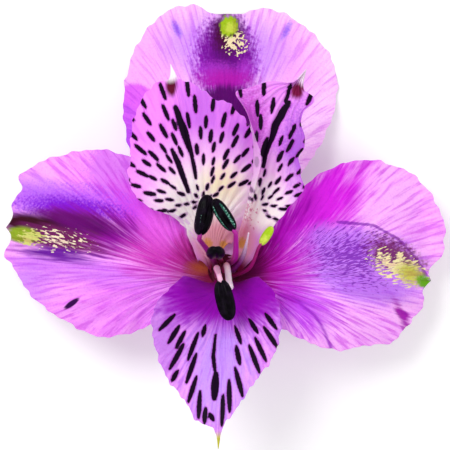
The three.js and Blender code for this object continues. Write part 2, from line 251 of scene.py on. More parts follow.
petals["leftOuterPetal"] = dict(
    outer, node="left_outer_petal", direction=169, foot=210,
    length=43.8, halfWidth=17.7, spread=0.217,
    left=[(-0.3, 0.08), (-0.62, 0.217), (-0.853, 0.342), (-0.983, 0.491), (-0.915, 0.616),
          (-0.79, 0.753), (-0.62, 0.858), (-0.43, 0.922), (-0.31, 0.98), (-0.1, 0.966)],
    tip=(0, 1),
    right=[(0.12, 0.98), (0.28, 0.99), (0.46, 0.96), (0.565, 0.986), (0.757, 0.918), (0.904, 0.815),
           (1.04, 0.662), (1.02, 0.5), (0.84, 0.3), (0.62, 0.17), (0.42, 0.09)],
    riseStep=8.04, rise=[0, 6, 8.5, 7.5, 3.5, -2],
    lifts=([0, 0, -2, -6, -7, -3], [0, 0, -2, -4, -4, -1]),
    ruffle=(0.35, 9), hump=(-41, 6.4, 2.2, 0.7), pleats=(0.12, 12),
    folds=[(-0.9, 1.8, [(-42, 8.6), (-30, 8), (-18.6, 4.4)])],
    pale="#fbaafd", vein="#e874f4", back="#efb4f3", veining=0.55,
    zones=[
        ("#ec82f6", "streak", 0.9, (-22, 15, 9, 9)),
        ("#c66ae6", "mottle", 0.25, (-20.5, 19.5, 6, 6), 0.5),
        ("#d84ee6", "streak", 0.6, (-15.5, 10, 9, 5, -35)),
        ("#d88cfb", "streak", 0.8, [(-38, 15, 5.5, 4), (-38, -3, 5, 5)]),
        ("#ea7cf5", "streak", 0.9, (-22, -6, 12, 7), 0.8),
        ("#cc72f2", "streak", 0.8, (-29, 0.4, 12, 2.6, -6), 0.7),
        ("#a94cec", "mottle", 0.8, (-32, 13.6, 11, 3, -4), 0.85),
        ("#7e10d0", "mottle", 0.7, (-29.5, 12, 9, 1.9, -6)),
        ("#94109e", "streak", 0.6, (-24.5, 7.2, 9.5, 4, -14)),
        ("#d63cc0", "streak", 0.8, (-11, 3, 8, 4)),
        ("#f56cf0", "streak", 0.9, (-12, 8.6, 3.4, 4.2, 30), 0.8),
        ("#c3248e", "streak", 0.8, (-4, 1.4, 5.2, 5.6)),
        # painted shade of the deep throat, in dark red
        ("#780c34", "silk", 0.7, (-1.5, 0, 5, 5)),
        ("#c8642c", "streak", 1, (-5.2, 0.5, 2.2, 1.2), 0.75),
        # the next two patches are painted shade: the deep shade in the fold above the green tip
        ("#64046c", "silk", 0.5, (-29.5, 9.3, 9.5, 2.1, -7)),
        ("#3c0620", "silk", 0.4, (-38, 8.9, 6.4, 2, -6)),
        ("#6e1e5c", "streak", 0.5, (-32.6, 5.9, 8.6, 2.5, -8)),
        ("#6c1c9c", "streak", 0.6, (-33.4, 3.3, 8, 1.2, -8)),
        ("#f2e2c0", "flecks", 0.2, (-33.2, 6, 6.8, 2.1, -8), 1, 0.36),
        ("#8ca626", "silk", 0.3, (-39.8, 6.9, 3.2, 1.5, -6)),
        ("#cdd070", "flecks", 0.2, (-37.8, 6.3, 2.2, 1.2)),
        ("#34044a", "soft", 0.2, (-29.8, -6.5, 1.9, 0.5, 34)),
    ],
)
petals["rightOuterPetal"] = dict(
    outer, node="right_outer_petal", direction=-3, foot=-30,
    length=40.65, halfWidth=18.7, spread=0.246,
    left=[(-0.42, 0.08), (-0.6, 0.17), (-0.76, 0.28), (-1.064, 0.44), (-1.209, 0.59),
          (-1.225, 0.713), (-1.112, 0.881), (-0.888, 0.984), (-0.615, 1.048), (-0.3, 1.05),
          (-0.118, 0.989)],
    tip=(0, 1),
    right=[(0.096, 0.964), (0.278, 0.964), (0.47, 0.898), (0.663, 0.822), (0.706, 0.701),
           (0.77, 0.561), (0.69, 0.406), (0.5, 0.234), (0.25, 0.1)],
    riseStep=7.41, rise=[0, 6, 9, 8.5, 4.5, -1.5],
    lifts=([0, 0, -2, -4, -4, -2], [0, 0, -2, -7, -9, -5]),
    ruffle=(0.4, 9), hump=(39, -3.2, 2.2, 0.7), pleats=(0.12, 12),
    folds=[(-0.8, 1.0, lowerCrease), (-0.7, 1.3, upperCrease),
           (-0.6, 0.8, [(32.6, -5.8), (34.8, -9), (36.1, -12.7)])],
    pale="#fbb4fd", vein="#e274f2", back="#efb7f4", veining=0.55,
    zones=[
        ("#ee7bf7", "streak", 0.8, (20, 14, 10, 6, 30)),
        ("#d61fe0", "streak", 0.6, (18.2, 12.8, 11.5, 5.8, 40)),
        ("#c10bcc", "streak", 0.7, (11, 6.5, 7, 4, 35)),
        ("#cb84f6", "silk", 0.3, (27, 0.8, 13, 7, -12)),
        ("#a64fdc", "streak", 0.8, [(24, 4.5, 10, 2.6, -6), (28, -3, 9, 2, -18)], 0.4),
        ("#7a22ae", "flecks", 0.3, (25, 2.4, 10, 5, -10), 0.85, 0.22),
        # the next two patches are painted shade: a dark line in the upper crease, the shaded edge of
        # the raised patch, and dark maroon on that shaded side near the tip
        ("#8524ae", "streak", 0.6, (0.3, upperCrease), 0.8),
        ("#6c1450", "hair", 0.5, (33.6, 2.2, 6, 3, -30), 0.9),
        ("#c850ec", "streak", 0.8, (14, -6.2, 7.5, 4.6, -30)),
        # painted shade: a dark line in the lower crease
        ("#9a22c4", "streak", 0.8, (0.4, lowerCrease), 0.8),
        ("#a51fae", "streak", 0.4, (34.8, -9, 3.6, 1.1, -62)),
        ("#c00ac4", "streak", 0.8, (9, 1, 7, 6.4)),
        ("#9c0a80", "streak", 0.7, (5, 0.6, 5, 6.4)),
        # painted shade of the deep throat, in dark red
        ("#5a0434", "silk", 0.7, (2, 0, 5, 5)),
        ("#f3e6ac", "flecks", 0.2, (34, 0.4, 5, 2.5, -24), 1, 0.1),
        ("#c3c440", "fine", 0.6, (36.4, -0.8, 2.8, 1.8, -28), 0.9),
        ("#5fa214", "fine", 0.5, (39.4, -2.4, 1.9, 1.1, -28)),
    ],
)
petals["leftInnerPetal"] = dict(
    inner, node="left_inner_petal", direction=104.6, foot=150,
    length=41.3, halfWidth=12.8, spread=0.293,
    left=[(-0.36, 0.07), (-0.4, 0.19), (-0.5, 0.293), (-0.898, 0.387), (-1.0625, 0.508),
          (-0.94, 0.63), (-0.836, 0.738), (-0.64, 0.843), (-0.344, 0.925), (-0.08, 0.935)],
    tip=(0, 1),
    right=[(0.07, 0.92), (0.266, 0.881), (0.516, 0.789), (0.7, 0.755), (0.914, 0.622),
           (0.9375, 0.421), (0.55, 0.23), (0.2, 0.11)],
    riseStep=7.72, rise=[ringStep, 7, 11.5, 14, 15, 14.5],
    lifts=([0, 0, 1, 0, -1, 0], [0, -0.4, -1.2, -2.5, -2, 0]),
    ruffle=(0.25, 6), hump=(-10.2, 37.6, 1.2, 0.8), pleats=(0.1, 9),
    pale="#f58cfb", vein="#d852ea", back="#efb6f2", veining=0.14,
    dashCentre=(-4.2, 13.2), dashSpan=(-104, 84),
    stripes=[(0.75, [(-9.5, 31.6), (-8.3, 28.4), (-7.4, 25.6), (-6.3, 22.3)]),
             (0.45, [(-6.3, 22.3), (-5.5, 18)]),
             (0.5, [(-10.2, 23.5), (-9, 20.9), (-7, 15.3)])],
    zones=[
        ("#cf70ea", "streak", 0.9, [(-4, 30, 6, 7), (1.8, 24, 4, 7)]),
        ("#f8c0f4", "silk", 0.6, (-4, 17, 11, 8)),
        ("#fff6f2", "silk", 0.5, (-4.4, 12.8, 9.6, 6.6, 20)),
        ("#fbe9b4", "silk", 0.8, (-0.6, 17, 3.4, 3.4), 0.7),
        ("#fbaebc", "soft", 0.5, (-1.8, 5.4, 4, 4.6)),
        ("#f0a860", "hair", 0.4, [(-3.4, 5.4, 0.9, 1), (-0.2, 5, 0.8, 1)]),
        # painted shade of the deep throat, in dark red
        ("#7a0a3c", "soft", 0.5, (-1, 0, 3.6, 3)),
        ("#5e0a2c", "silk", 0.4, (-10.3, 35.6, 1.1, 2)),
        ("#fdf3fb", "soft", 0.4, (-10.4, 38.6, 1.6, 2)),
    ],
)
petals["rightInnerPetal"] = dict(
    inner, node="right_inner_petal", direction=67.9, foot=30,
    length=42, halfWidth=9.5, spread=0.28,
    left=[(0.04, 0.08), (0.03, 0.13), (0, 0.28), (-0.084, 0.429), (-0.168, 0.538), (-0.4, 0.61),
          (-0.8, 0.715), (-1.147, 0.774), (-0.968, 0.814), (-0.568, 0.886), (-0.158, 0.919)],
    tip=(0, 1),
    right=[(0.095, 0.912), (0.358, 0.888), (0.274, 0.793), (0.4, 0.729), (0.579, 0.671),
           (0.526, 0.61), (0.842, 0.498), (0.81, 0.431), (0.62, 0.3), (0.52, 0.19), (0.45, 0.1)],
    riseStep=7.86, rise=[ringStep, 8.1, 12.9, 15.2, 16.5, 16],
    lifts=([0, 0.5 * overLeft, 0.92 * overLeft, overLeft, 0.53 * overLeft, 1],
           [0, 1, 1, 0, 0, 0]),
    middle=[(2, 1.4), (5.6, 14), (8.2, 23.8), (11.5, 32.6), (15.8, 38.9)],
    ruffle=(0.3, 6), hump=(15.3, 36.6, 1.2, 0.8), pleats=(0.1, 5),
    pale="#f098fa", vein="#cc56de", back="#efb6f2", veining=0.12,
    dashCentre=(6.4, 12.6), dashSpan=(-66, 122),
    stripes=[(0.8, [(12.4, 32.4), (9.8, 28.2), (9.1, 25.3)]),
             (0.55, [(9.1, 25.3), (7.7, 22.5), (7.6, 20.2)]),
             (0.5, [(8.2, 25.6), (7.2, 22.4)])],
    zones=[
        ("#b560dc", "mottle", 0.8, (14.2, 23, 4, 8, -5)),
        ("#bc38c2", "mottle", 0.8, (4.4, 27, 3, 8, -4), 0.9),
        ("#f8c0f4", "silk", 0.6, (7.4, 16, 5.6, 6)),
        ("#fff2f4", "silk", 0.45, (7, 12.6, 5.6, 5, -20)),
        ("#d0488e", "speckle", 0.4, (3.6, 11.8, 2, 4, 15), 0.7, 0.3),
        ("#fba9c4", "soft", 0.5, (3.2, 5.6, 3, 4)),
        ("#f0a860", "hair", 0.4, (3.6, 5.4, 1, 1.1)),
        # painted shade of the deep throat, in dark red
        ("#7a0a3c", "soft", 0.5, (2, 0, 3, 3)),
        ("#7a1244", "silk", 0.4, (14, 34.8, 1.3, 1.7, -25)),
        ("#f8e4f4", "soft", 0.4, (15.6, 37.6, 1.5, 1.9)),
    ],
)
petals["lowerPetal"] = dict(
    inner, node="lower_petal", slot="lower_petal", direction=-90, foot=270,
    length=34.2, halfWidth=12.4, spread=0.035,
    left=[(-0.532, 0.035), (-0.782, 0.126), (-0.871, 0.249), (-0.855, 0.38), (-0.726, 0.503),
          (-0.5, 0.611), (-0.29, 0.719), (-0.097, 0.819), (0.03, 0.88)],
    tip=(0.097, 1),
    right=[(0.17, 0.885), (0.427, 0.845), (0.613, 0.731), (0.871, 0.614), (1.048, 0.468),
           (1.129, 0.307), (1.04, 0.175), (0.645, 0.03)],
    riseStep=6.3, rise=[ringStep, 7, 13, 17, 19.5, 20],
    lifts=([0, 6, 5, 3, 1, 0], [0, 6, 5, 3, 1, 0]),
    ruffle=(0.25, 6), hump=(-1.1, -32.5, 1.1, 0.5), pleats=(0.1, 9),
    pale="#ec9ffc", vein="#c162dd", back="#e9b4f5", veining=0.45,
    dashes=[
        (-9.7, -8.5, -12.7, -11.5), (-8.8, -10.7, -10.9, -14), (-7.7, -11.8, -9.4, -15),
        (-7.9, -14.2, -10.6, -19), (-9, -19.2, -10.2, -21.3), (-3.8, -10.7, -4.3, -12.8),
        (-5.2, -12.1, -7.1, -17.3), (-5.5, -16.1, -7.4, -21.7), (-5.4, -20.4, -7, -25.3),
        (-4.7, -23.2, -5, -28.4), (-3.6, -26.3, -3.9, -29.4), (-2.9, -27.4, -2.1, -28.8),
        (-0.2, -23.9, -0.5, -29.8), (0.9, -21.1, 1, -27.2), (2.1, -10.9, 3.3, -14.2),
        (2.3, -14.7, 3, -18.2), (2.1, -18.7, 3.5, -24.2), (4.9, -9.5, 6.5, -12.1),
        (8, -8.3, 10.1, -11.3), (7.7, -10.9, 10.3, -14.9), (6, -13, 8.1, -17.5),
        (4.8, -14.5, 6.8, -19.7),
    ],
    stripes=[(0.42, [(-1.8, -12.6), (-2.2, -16.6), (-1.8, -19.7)]),
             (0.75, [(-1.7, -20), (-2, -24.6)])],
    zones=[
        ("#cb97fb", "streak", 0.6, (-1, -19, 6, 10)),
        ("#c77fe6", "streak", 0.6, [(-11.5, -13, 3, 7, 10), (12.5, -12, 3, 6, -10)]),
        # the next two patches are painted shade: deep purple over the steep upper part near the throat
        ("#b036d8", "silk", 0.5, (0, -4.6, 14, 6.6)),
        ("#a008bc", "silk", 0.35, (0, -4.4, 12.6, 5.4)),
        # painted shade of the deep throat, in dark red
        ("#6a0334", "soft", 0.5, (0, 0, 5, 3.8)),
        ("#c9c83c", "soft", 0.4, (-1.1, -34, 1.5, 2.6)),
    ],
)


def waves(parts, t):
    return sum(height * np.sin(turn * t + phase) for height, turn, phase in parts)


def petalPlan(petal, u, v):
    # Where each place lies seen from above. On most petals each u is one vein: a Bezier curve from
    # its foot on the ring, straight up the claw, then fanning out to its own point on the margin,
    # which runs from the foot's left (-1) round the tip (0) to its right (1). A petal with a
    # middle line has rows instead: at each v a parabola through the left margin, the middle and
    # the right margin. Short waves nibble the margin.
    along = heading(petal["direction"])
    across = np.array([along[1], -along[0]])
    scale = np.array([petal["halfWidth"], petal["length"]])
    place = lambda shares: (np.array(shares) * scale) @ np.stack([across, along])
    foot = heading(petal["foot"] - u * clawHalfAngle) * (petal["ring"] - petal["inset"])
    if "middle" in petal:
        left = evenSpline(np.vstack([foot[:1], place(petal["left"] + [petal["tip"]])]), v)
        right = evenSpline(np.vstack([foot[-1:], place(petal["right"][::-1] + [petal["tip"]])]), v)
        nibble = waves(sideNibbles, v) * smoothStep(0.2, 0.4, v) * smoothStep(1, 0.9, v)
        right = right + nibble[:, None] * across
        middle = evenSpline(petal["middle"], v)
        share = u[:, None, None]
        return middle + share * (right - left) / 2 + share ** 2 * ((left + right) / 2 - middle)
    left = evenSpline(place(petal["left"] + [petal["tip"]]), 1 + np.minimum(u, 0))
    right = evenSpline(place([petal["tip"]] + petal["right"]), np.maximum(u, 0))
    edge = np.where(u[:, None] < 0, left, right)
    outward = unit(edge - place([(0, petal["spread"])])[0])
    side = np.abs(u)
    nibble = waves(fanNibbles, u) * smoothStep(0, 0.12, 1 - side) * smoothStep(0.02, 0.1, side)
    edge = edge + outward * nibble[:, None]
    length = np.linalg.norm(edge - foot, axis=1, keepdims=True)
    second = (foot + along * clawRun * length)[:, None]
    third = (edge - outward * edgeRun * length)[:, None]
    s = v[None, :, None]
    return (foot[:, None] * (1 - s) ** 3 + 3 * second * s * (1 - s) ** 2 + 3 * third * s * s * (1 - s)
            + edge[:, None] * s ** 3)


relief = dict(secondRuffle=(0.6, 2.3, 1.3), rufflePower=5, pleatWander=(0.7, 9),
              furrow=0.28, furrowSharpness=16)


def petalSurface(petal, u, v):
    # The height is the rise at that distance from the throat, plus the lift of the nearer margin
    # times |u| to a power, ruffles that grow towards the margin (v = 1), pleats along the veins,
    # a hump at the tip, the folds, and a narrow furrow over the middle vein.
    plan = petalPlan(petal, u, v)
    x, y = plan[..., 0], plan[..., 1]
    steps = np.maximum(0, np.hypot(x, y) - petal["ring"]) / petal["riseStep"]
    share = steps / (len(petal["rise"]) - 1)
    side = np.abs(u)[:, None]
    left, right = petal["lifts"]
    lift = np.where(u[:, None] < 0, spline(left, share), spline(right, share))
    z = spline(petal["rise"], share) + lift * side ** liftPower
    waveHeight, count = petal["ruffle"]
    secondShare, secondCount, secondPhase = relief["secondRuffle"]
    second = (secondShare, secondCount * count * math.pi, secondPhase)
    wave = waves([(1, count * math.pi, 0), second], u)
    z = z + waveHeight * wave[:, None] * v ** relief["rufflePower"]
    pleatHeight, pleats = petal["pleats"]
    wander, wanderTurn = relief["pleatWander"]
    pleat = np.sin(2 * math.pi * pleats * u + wander * np.sin(wanderTurn * u))[:, None]
    z = z + pleatHeight * pleat * (smoothStep(0.12, 0.4, v) * smoothStep(1.05, 0.75, v))
    humpX, humpY, humpRadius, humpHeight = petal["hump"]
    z = z + humpHeight * np.exp(-((x - humpX) ** 2 + (y - humpY) ** 2) / humpRadius ** 2)
    for depth, width, points in petal["folds"]:
        gap, share = lineDistance(x, y, points)
        z = z + depth * np.exp(-(gap / width) ** 2)
    furrow = relief["furrow"] * np.exp(-(side * relief["furrowSharpness"]) ** 2)
    furrow = furrow * smoothStep(0.05, 0.3, v)
    return np.stack([x, y, z - furrow], axis=-1)


# steps: the angle between neighbours, up to each radius. sway: how far a dash is moved round and
# outwards and how much its length varies, and how fast the sine turns with its number and ring.
# halfWidth: a start, a share of the length and two limits. ringed, placed and striped: how the
# width of a mark runs along it, as a least share, a swell and a power.
dashes = dict(
    first=1.3, last=25, length=0.85, lengthening=0.125, between=0.3,
    steps=[(3, 40), (6, 24), (11.5, 15), (99, 10.5)], clearOfTip=3.4, clearOfStripe=1.15,
    swayRound=(0.16, 5.1, 2.3), swayOut=(0.16, 3.7, 1.9), swayLength=(0.14, 2.9, 4.1),
    meanLength=0.92, outside=-9.0, halfWidth=(0.19, 0.1, 0.24, 0.42),
    ringed=(0.55, 0.45, 0.5), placed=(0.2, 0.28, 0.7), striped=(0.6, 0.4, 1),
)


def dashLines(petal):
    # Rings of dashes round dashCentre, longer in proportion to the ring's radius. The step between
    # neighbours is less further out, where the veins have branched. Every other ring is turned
    # half a step, and fixed sines of its number and ring move each dash and change its length.
    lines, radius, ring = [], dashes["first"], 0
    centre = np.array(petal["dashCentre"])
    low, high = petal["dashSpan"]
    sway = lambda share, turn, ringTurn: share * np.sin(turn * number + ringTurn * ring)
    while radius < dashes["last"]:
        length = dashes["length"] + dashes["lengthening"] * radius
        step = next(degrees for limit, degrees in dashes["steps"] if radius < limit)
        number = np.arange(math.floor((high - low) / step) + 1)
        turn = low + (number + 0.5 * (ring % 2) + sway(*dashes["swayRound"])) * step
        start = (radius + length * sway(*dashes["swayOut"]))[:, None]
        end = start + (length * (dashes["meanLength"] + sway(*dashes["swayLength"])))[:, None]
        away = heading(petal["direction"] - turn)
        for first, last in zip(centre + away * start, centre + away * end):
            middle = (first + last) / 2
            gap = min(lineDistance(*middle, points)[0] for half, points in petal["stripes"])
            fromTip = np.hypot(*(middle - petal["hump"][:2]))
            if gap > dashes["clearOfStripe"] and fromTip > dashes["clearOfTip"]:
                lines.append((first, last))
        radius += length + dashes["between"]
        ring += 1
    return lines


def dashField(petal, x, y):
    # How far inside the nearest dash or stripe each place is, in mm. A mark is widest half way
    # along: its half width times a least share plus a swell times a power of a sine.
    marks = [(1, "placed", (ends[:2], ends[2:])) for ends in petal.get("dashes", [])]
    marks += [(half, "striped", points) for half, points in petal.get("stripes", [])]
    if "dashCentre" in petal:
        least, share, low, high = dashes["halfWidth"]
        for start, end in dashLines(petal):
            half = np.clip(least + share * np.hypot(*(end - start)), low, high)
            marks.append((half, "ringed", (start, end)))
    depth = np.full(x.shape, dashes["outside"])
    for half, kind, points in marks:
        gap, share = lineDistance(x, y, points)
        least, swell, power = dashes[kind]
        width = half * (least + swell * np.sin(math.pi * share) ** power)
        depth = np.maximum(depth, width - gap)
    return depth


def zoneField(shapes, x, y):
    # 1 at the middle of an oval or on a line, 0.5 at its edge and 0 at twice its size
    field = np.zeros(x.shape)
    for shape in shapes if isinstance(shapes, list) else [shapes]:
        if len(shape) == 2:
            size = lineDistance(x, y, shape[1])[0] / shape[0]
        else:
            cx, cy, rx, ry, turn = (*shape, 0)[:5]
            c, s = heading(turn)
            dx, dy = x - cx, y - cy
            size = np.hypot((dx * c + dy * s) / rx, (dy * c - dx * s) / ry)
        field = np.maximum(field, 1 - size / 2)
    return np.clip(field, 0, 1)


print("tools and sizes ready")


# ---- petal skin
# A living petal: soft, slightly silky cells in rows along the veins. That gives the eye a satin
# sheen, streaks of deeper colour a fraction of a millimetre apart, and patches that fray into
# those streaks at their edges.
# alongVeins: a noise stretched along the veins, as its share across, its share along and its
# detail; inSkin: one of the skin itself, as its size in cells and its detail; mixes: the mean of
# two others; fray: the noise that a grain takes and how much of it; relief and scatter: how deep
# the bump is and how far light spreads inside, in mm.

skin = dict(
    veinSpacing=0.3, cellSize=0.4, roughness=0.5, sheen=0.03, subsurface=0.05,
    alongVeins={"streaks": (1, 6, 2), "bands": (0.286, 3, 3), "shortStreaks": (1.6, 30, 2)},
    inSkin={"cells": (1, 2), "blotches": (1.7, 3)},
    mixes={"mixed": ("streaks", "bands"), "hairs": ("blotches", "shortStreaks")},
    fray={"streak": ("mixed", 1.5), "silk": ("mixed", 0.5), "hair": ("hairs", 1.3),
          "fine": ("hairs", 0.7), "mottle": ("cells", 0.9), "speckle": ("blotches", 3.4),
          "flecks": ("shortStreaks", 2.8), "soft": ("cells", 0.06)},
    zoneEdge=(0.08, 0.36), relief=0.15, ior=1.4, gloss=0.08, scatter=0.6,
)


def petalSkin(name, petal):
    material, add, place = newMaterial(name)
    uv = add("UVMap", uv_map="veins")
    veinCount = 2 * petal["halfWidth"] / skin["veinSpacing"]
    noise = {}
    for key, (across, along, detail) in skin["alongVeins"].items():
        size = (across * veinCount, along, 1)
        stretched = add("VectorMath", {0: uv, 1: size}, operation="MULTIPLY")
        noise[key] = add("TexNoise", {"Vector": stretched, "Scale": 1.0, "Detail": detail})
    for key, (size, detail) in skin["inSkin"].items():
        scale = 1 / (size * skin["cellSize"] * mm)
        noise[key] = add("TexNoise", {"Vector": place, "Scale": scale, "Detail": detail})
    for key, (first, second) in skin["mixes"].items():
        half = add("Math", {0: noise[first], 1: 0.5}, operation="MULTIPLY")
        noise[key] = add("Math", {0: noise[second], 1: 0.5, 2: half}, operation="MULTIPLY_ADD")
    # layers from under to over: colour, what drives it, where it starts and is full, share, blend
    layers = [(petal["vein"], noise["mixed"], 0.42, 0.62, petal["veining"] + 0.15)]
    for i, (tint, grain, blend, shapes, *more) in enumerate(petal["zones"]):
        strength, sparse = more + [1, 0][len(more):]
        source, amount = skin["fray"][grain]
        field = add("Attribute", output="Fac", attribute_name=f"zone{i}")
        centred = add("Math", {0: noise[source], 1: 0.5}, operation="SUBTRACT")
        frayed = add("Math", {0: centred, 1: amount, 2: field}, operation="MULTIPLY_ADD")
        first, full = skin["zoneEdge"]
        near = add("MapRange", {0: field, 1: first, 2: full}, interpolation_type="SMOOTHSTEP")
        edge = add("Math", {0: frayed, 1: near}, operation="MULTIPLY")
        middle = 0.5 + sparse
        layers.append((tint, edge, middle - blend / 2, middle + blend / 2, strength))
    layers += [("#e2b0ea", noise["streaks"], 0.5, 0.66, petal["veining"], "MULTIPLY"),
               ("#e4bcec", noise["cells"], 0.5, 0.36, 0.5 * petal["veining"], "MULTIPLY")]
    if "stripes" in petal:
        dash = add("Attribute", output="Fac", attribute_name="dash")
        wobble = add("Math", {0: noise["cells"], 1: 0.3, 2: dash}, operation="MULTIPLY_ADD")
        layers += [("#a01cae", wobble, 0.27, 0.65, 0.6), ("#15011c", wobble, 0.57, 0.73)]
    colour = petal["pale"]
    for layer in layers:
        colour = layOver(add, colour, *layer)
    fields = {key: add("Attribute", output="Fac", attribute_name=key)
              for key in ("along", "back", "keel")}
    underside = layOver(add, colour, petal["back"], fields["along"], 0.18, 0.42, 0.6)
    underside = layOver(add, underside, "#9db46a", fields["keel"], 0.05, 1)
    behind = add("MapRange", {0: fields["back"], 1: 0.8, 2: 1})
    colour = add("Mix", {0: behind, 6: colour, 7: underside}, output=2, data_type="RGBA")
    weighted = add("Math", {0: noise["cells"], 1: 0.3}, operation="MULTIPLY")
    height = add("Math", {0: noise["streaks"], 1: 0.7, 2: weighted}, operation="MULTIPLY_ADD")
    bump = add("Bump", {"Strength": 0.6, "Distance": skin["relief"] * mm, "Height": height})
    add("OutputMaterial", {0: add("BsdfPrincipled", {
        "Base Color": colour, "Roughness": skin["roughness"], "Normal": bump, "IOR": skin["ior"],
        "Sheen Weight": skin["sheen"], "Subsurface Weight": skin["subsurface"],
        "Subsurface Scale": skin["scatter"] * mm, "Specular IOR Level": skin["gloss"]})})
    return material


# ---- where the throat is: the petals' boxes, as worked out here and as packed, share their middles

def boxMiddle(points):
    return (points.reshape(-1, 3).min(0) + points.reshape(-1, 3).max(0)) / 2


coarse = np.linspace(-1, 1, 49), np.linspace(0, 1, 25)
offsets = []
for petal in petals.values():
    plain = dict(petal, ruffle=(0, 1), pleats=(0, 1), hump=(0, 0, 1, 0), folds=[])
    low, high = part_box(petal["node"])
    offsets.append((np.array(low) + np.array(high)) / 2 / mm - boxMiddle(petalSurface(plain, *coarse)))
throat = np.mean(offsets, axis=0)
print("throat at", np.round(throat, 2), "mm, petals agree to", np.round(np.ptp(offsets, axis=0), 2))


# ---- petal meshes

# thickness: at each share of the way from the foot to the margin; sideThinning: what the two sides
# lose of it; packing: how the rows crowd towards the margin; keel: how narrow the green line is
sheet = dict(acrossSteps=200, alongSteps=110, packing=1.25, clearance=0.03, keel=9,
             thickness=([0, 0.25, 0.85, 1], [0.56, 0.42, 0.336, 0.16]), sideThinning=0.7)


def makePetal(name, petal):
    # The sheet lies half its thickness either side of the surface, along its normal. It thins
    # from the foot to the margin, where a strip of faces joins front and back.
    u = np.linspace(-1, 1, sheet["acrossSteps"] + 1)
    v = 1 - (1 - np.linspace(0, 1, sheet["alongSteps"] + 1)) ** sheet["packing"]
    surface = petalSurface(petal, u, v)
    # this points up, since the grid turns anticlockwise seen from above
    normal = unit(np.cross(np.gradient(surface, axis=0), np.gradient(surface, axis=1)))
    thickness = np.interp(v, *sheet["thickness"])
    thin = 1 - sheet["sideThinning"] * smoothStep(0.75, 1, np.abs(u))
    half = normal * (thin[:, None] * thickness / 2)[..., None]
    lowest = cadLow.z / mm - throat[2] + sheet["clearance"]
    surface[..., 2] = np.maximum(surface[..., 2], lowest + np.abs(half[..., 2]))
    rows, columns = surface.shape[:2]
    count = rows * columns
    front, back = (surface + half).reshape(-1, 3), (surface - half).reshape(-1, 3)
    top = gridQuads(rows, columns)
    under = gridQuads(rows, columns, count)[:, ::-1]
    corner = np.arange(count).reshape(rows, columns)
    rim = np.concatenate([corner[:, 0], corner[-1, 1:], corner[-2::-1, -1], corner[0, -2:0:-1]])
    nextRim = np.roll(rim, -1)
    strip = np.stack([rim, rim + count, nextRim + count, nextRim], axis=-1)
    x, y = surface[..., 0].ravel(), surface[..., 1].ravel()
    keel = np.exp(-(u * sheet["keel"]) ** 2)[:, None] * smoothStep(0.05, 0.35, v)
    # dash is 0.5 at a mark's edge and runs from 0 to 1 over 0.8 mm
    fields = {
        "across": np.repeat((u + 1) / 2, columns), "along": np.tile(v, rows), "keel": keel.ravel(),
        "dash": np.clip(dashField(petal, x, y) / 0.8 + 0.5, 0, 1),
    }
    for i, zone in enumerate(petal["zones"]):
        fields[f"zone{i}"] = zoneField(zone[3], x, y)
    fields = {key: np.tile(values, 2) for key, values in fields.items()}
    fields["back"] = np.repeat([0.0, 1.0], count)
    faces = np.concatenate([top, under, strip]).tolist()
    newPiece(name, np.concatenate([front, back]), faces, fields, petalSkin(name + "Skin", petal),
             petal["node"])


for name, petal in petals.items():
    makePetal(name, petal)
print("petals made")


# ---- stamens, style, ovary and stalk
# Routes start at the foot, at foot degrees on a ring, and pass through the route's points.

tubes = dict(sides=24, steps=64, gap=0.3, ring=1.68, intoAnther=1.3, footSwell=0.12,
             tipSwell=0.75, bareTip=0.35)
anther = dict(length=8.1, width=3.4, depth=2.9, around=72, along=60, lead=0.72,
              slit=0.3, slitTurn=48, slitSpread=13, furrow=(0.34, 20), backFurrow=(0.2, 18),
              bow=0.35, sink=0.2, blunt=(2.6, 0.45))
stamens = {
    "left": dict(foot=165, route=[(-2.8, 3.2, 9.5), (-4.9, 6.1, 16)], points=(1.7, 8, 1.2),
                 radius=0.6, low="#5c0a3e", high="#a3148a", roll=-30, open=0.3, plump=1.05),
    "right": dict(foot=55, route=[(2.1, 2.6, 8.5), (2.2, 7.2, 15.5)], points=(-3.4, 5.2, 3.4),
                  radius=0.62, low="#8a1868", high="#b81f9c", roll=15, open=1, plump=0.86),
    "centre": dict(foot=110, route=[(-0.9, 2.4, 7.5), (-1.7, 2.9, 14)], points=(0, 0.9, 5.6),
                   radius=0.45, low="#8a1848", high="#7a0d5c", open=0.1, size=0.8, plump=1.2,
                   flat=0.82),
    "lower": dict(foot=225, route=[(-1.5, 0.4, 8.5), (-1, -1, 17.5)], points=(1.9, -8, -0.4),
                  radius=0.66, low="#c23a7a", high="#f0b4d4", open=0.12, plump=1.06),
    "bare": dict(foot=0, route=[(3.6, 2.8, 8.6), (4.7, 7.4, 15)],
                 radius=0.52, low="#8c1a80", high="#f6e6f2", taper=0.3),
    "unripe": dict(foot=305, route=[(4.8, 0.4, 5.5), (6.6, 4.4, 10)], points=(2.1, 3.2, 1.2),
                   radius=0.42, low="#7a1048", high="#a0186c", open=0, size=0.54,
                   plump=0.68, unripe=True),
}
style = dict(foot=0, ring=0, route=[(0.5, 0.8, 6.5), (1, -3.6, 12.1)], radius=0.62,
             low="#c0307e", high="#fbeaf4", knob=0.3, rounding=0.045, least=0.08)


def around(sides):
    return np.linspace(0, 2 * math.pi, sides, endpoint=False)


def sweep(path, radius):
    # Rings of points round a path: at each step the ring lies across the path's direction, and
    # its two axes come from that direction and the frame's x.
    forward = unit(np.gradient(path, axis=0))
    side = unit(np.cross(forward, (1.0, 0, 0)))
    other = np.cross(side, forward)
    angle = around(radius.shape[1])[None, :, None]
    ring = side[:, None] * np.cos(angle) + other[:, None] * np.sin(angle)
    return path[:, None] + ring * radius[..., None]


